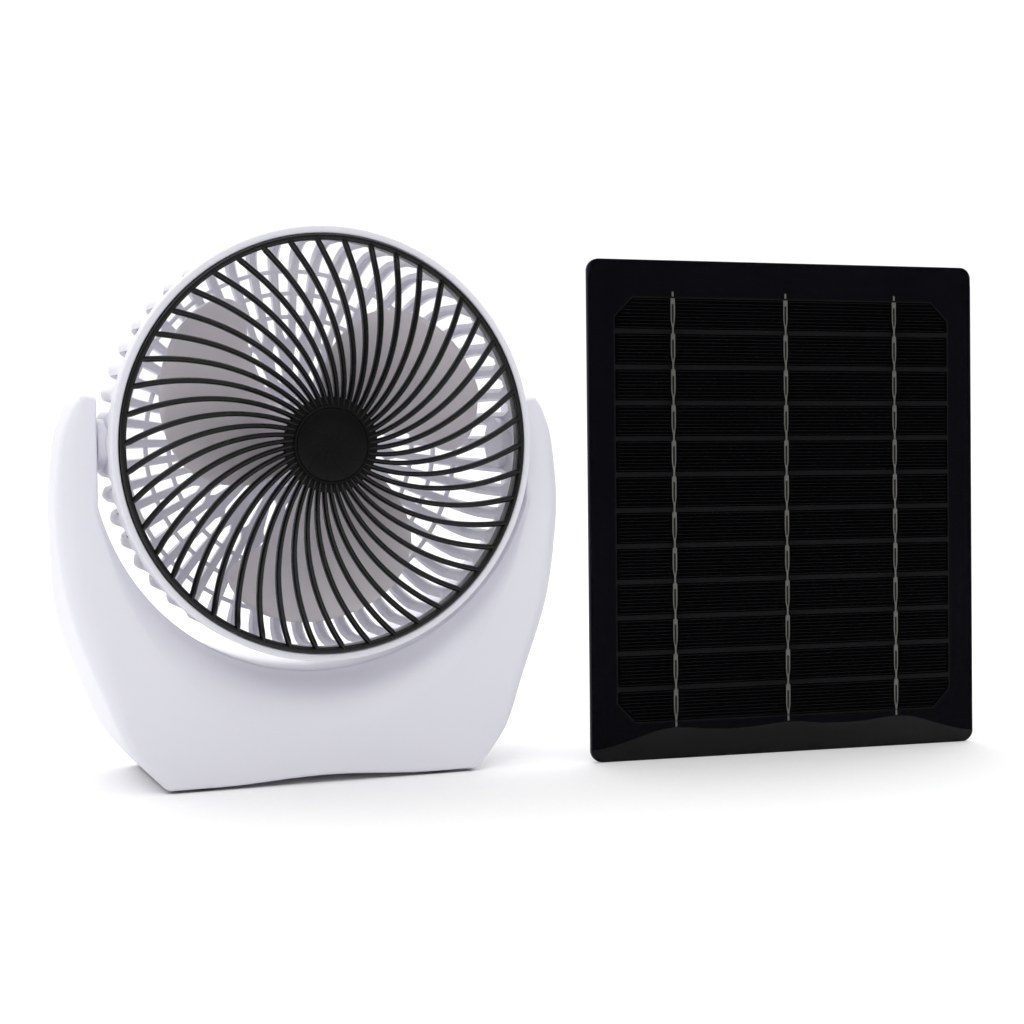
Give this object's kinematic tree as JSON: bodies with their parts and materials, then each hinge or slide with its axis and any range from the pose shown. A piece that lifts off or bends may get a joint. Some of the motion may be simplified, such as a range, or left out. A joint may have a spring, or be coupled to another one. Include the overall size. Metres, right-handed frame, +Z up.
{
  "type": "solar table fan kit",
  "caption": "Rechargeable fan with a tilting round head in a yoke base, with a separate frameless solar charging panel standing on a fold-out leg.",
  "frame": {"origin": "bottom centre of the kit: the fan stands left of it and the solar panel right of it, both on z = 0", "axes": "+Z up, -Y is the side the fan blows to and the panel faces, +X runs from the fan to the panel"},
  "size_m": [0.3966, 0.09, 0.2181],
  "materials": {
    "white_shell": "satin moulded ABS",
    "black_grille": "satin moulded ABS",
    "milky_blade": "translucent moulded polypropylene",
    "black_board": "glossy printed board",
    "cell_black": "textured silicon",
    "tinned_ribbon": "tinned copper",
    "steel": "satin",
    "brass": "sintered",
    "rubber": "matt",
    "nylon": "matt",
    "black_socket": "matt",
    "circuit_board": "solder mask",
    "battery_wrap": "heat-shrink film",
    "clear_lens": "clear",
    "clear_film": "glossy laminate",
    "grey_button": "satin"
  },
  "bodies": {
    "base": {"base_front_shell": "white_shell", "base_rear_shell": "white_shell", "base_screw_1": "steel", "base_screw_2": "steel", "base_screw_3": "steel", "base_screw_4": "steel", "base_bottom_plate": "white_shell", "foot_front_left": "rubber", "foot_front_right": "rubber", "foot_rear_left": "rubber", "foot_rear_right": "rubber", "battery_cell": "battery_wrap", "battery_cradle": "nylon", "charge_board": "circuit_board", "button_switch": "black_socket", "charge_socket": "black_socket", "indicator_lens": "clear_lens", "pivot_bush_left": "nylon", "pivot_bush_right": "nylon"},
    "button": {"speed_button": "grey_button"},
    "head": {"rear_housing": "white_shell", "motor_cover": "white_shell", "front_grille": "black_grille", "grille_hub_cap": "black_grille", "pivot_pin_left": "steel", "pivot_pin_right": "steel", "friction_washer_left": "rubber", "friction_washer_right": "rubber", "motor_can": "steel", "motor_end_cap": "nylon", "motor_bush_front": "brass", "motor_bush_rear": "brass", "magnet_upper": "black_socket", "magnet_lower": "black_socket", "motor_screw_1": "steel", "motor_screw_2": "steel"},
    "impeller": {"impeller": "milky_blade", "motor_shaft": "steel", "motor_rotor": "steel", "impeller_cap": "milky_blade"},
    "panel": {"panel_board": "black_board", "cell_string": "cell_black", "ribbon_left": "tinned_ribbon", "ribbon_middle": "tinned_ribbon", "ribbon_right": "tinned_ribbon", "front_film": "clear_film", "junction_box": "black_grille", "junction_lid": "black_grille", "lid_screw_1": "steel", "lid_screw_2": "steel", "output_socket": "black_socket", "leg_bracket": "black_grille", "leg_pin": "steel"},
    "leg": {"support_leg": "black_grille"}
  },
  "joints": [
    {"name": "head_tilt", "type": "hinge", "parent": "base", "child": "head", "pos_m": [-0.0952, -0.0068, 0.1335], "axis": [-1, 0, 0], "range_deg": [-30, 90]},
    {"name": "impeller_spin", "type": "hinge", "parent": "head", "child": "impeller", "pos_m": [-0.0952, -0.0068, 0.1335], "axis": [0, 1, 0], "continuous": true},
    {"name": "button_press", "type": "slide", "parent": "base", "child": "button", "axis": [0, -1, 0], "range_m": [0, 0.0012], "stiffness_N_per_m": 800},
    {"name": "panel_place", "type": "slide", "parent": "base", "child": "panel", "axis": [1, 0, 0], "range_m": [0, 0.2]},
    {"name": "leg_fold", "type": "hinge", "parent": "panel", "child": "leg", "pos_m": [0.10901, -0.02344, 0.09768], "axis": [0.9962, -0.0872, 0], "range_deg": [-22, 0]}
  ]
}
